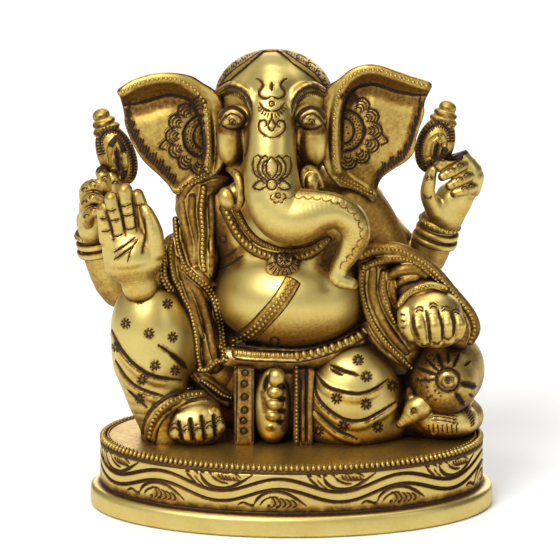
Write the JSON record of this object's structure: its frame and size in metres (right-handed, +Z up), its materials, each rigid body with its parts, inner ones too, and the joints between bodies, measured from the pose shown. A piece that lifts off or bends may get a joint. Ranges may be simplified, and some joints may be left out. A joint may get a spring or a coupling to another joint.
{
  "type": "seated deity statue",
  "caption": "Cast brass statue of a seated elephant-headed deity leaning on a round bolster, on a hollow oval plinth with a vine frieze and a beaded rim.",
  "frame": {"origin": "centre of the oval foot of the plinth, on the surface that it stands on", "axes": "+Z up, the figure faces -Y, and its left hand is towards +X"},
  "size_m": [0.1396, 0.084, 0.1508],
  "materials": {
    "polished_brass": "hand-polished cast brass, satin with dark patina left in the recesses",
    "antiqued_brass": "chased cast brass, polished on the high spots and black-brown patina between them",
    "zinc_steel": "bright zinc-plated steel"
  },
  "bodies": {
    "root": {"plinth_flange": "polished_brass", "plinth_drum": "antiqued_brass", "plinth_vine_frieze": "polished_brass", "plinth_top_plate": "polished_brass", "plinth_bead_rim": "polished_brass", "fixing_screw": "zinc_steel", "fixing_washer": "zinc_steel", "torso": "polished_brass", "back_shawl": "antiqued_brass", "head": "polished_brass", "hair_cap": "antiqued_brass", "eyes": "polished_brass", "trunk": "polished_brass", "right_tusk": "polished_brass", "left_tusk": "polished_brass", "right_ear": "antiqued_brass", "left_ear": "antiqued_brass", "right_ear_border": "polished_brass", "left_ear_border": "polished_brass", "right_leg": "polished_brass", "right_foot": "polished_brass", "right_leg_hem": "antiqued_brass", "left_leg": "polished_brass", "left_foot": "polished_brass", "dhoti_ring_panel": "antiqued_brass", "dhoti_pleats": "antiqued_brass", "waist_belt": "antiqued_brass", "necklace": "antiqued_brass", "necklace_pendant": "antiqued_brass", "sacred_thread": "antiqued_brass", "right_scarf": "antiqued_brass", "left_scarf": "antiqued_brass", "rear_right_arm": "polished_brass", "rear_right_hand": "polished_brass", "rear_right_bangles": "antiqued_brass", "right_bud": "antiqued_brass", "rear_left_arm": "polished_brass", "rear_left_hand": "polished_brass", "rear_left_bangles": "antiqued_brass", "left_bud": "antiqued_brass", "front_right_arm": "polished_brass", "front_right_hand": "polished_brass", "front_left_arm": "polished_brass", "front_left_hand": "polished_brass", "front_left_bracelet": "antiqued_brass", "cushion": "antiqued_brass", "cushion_hub": "antiqued_brass", "mouse": "antiqued_brass"}
  },
  "joints": []
}
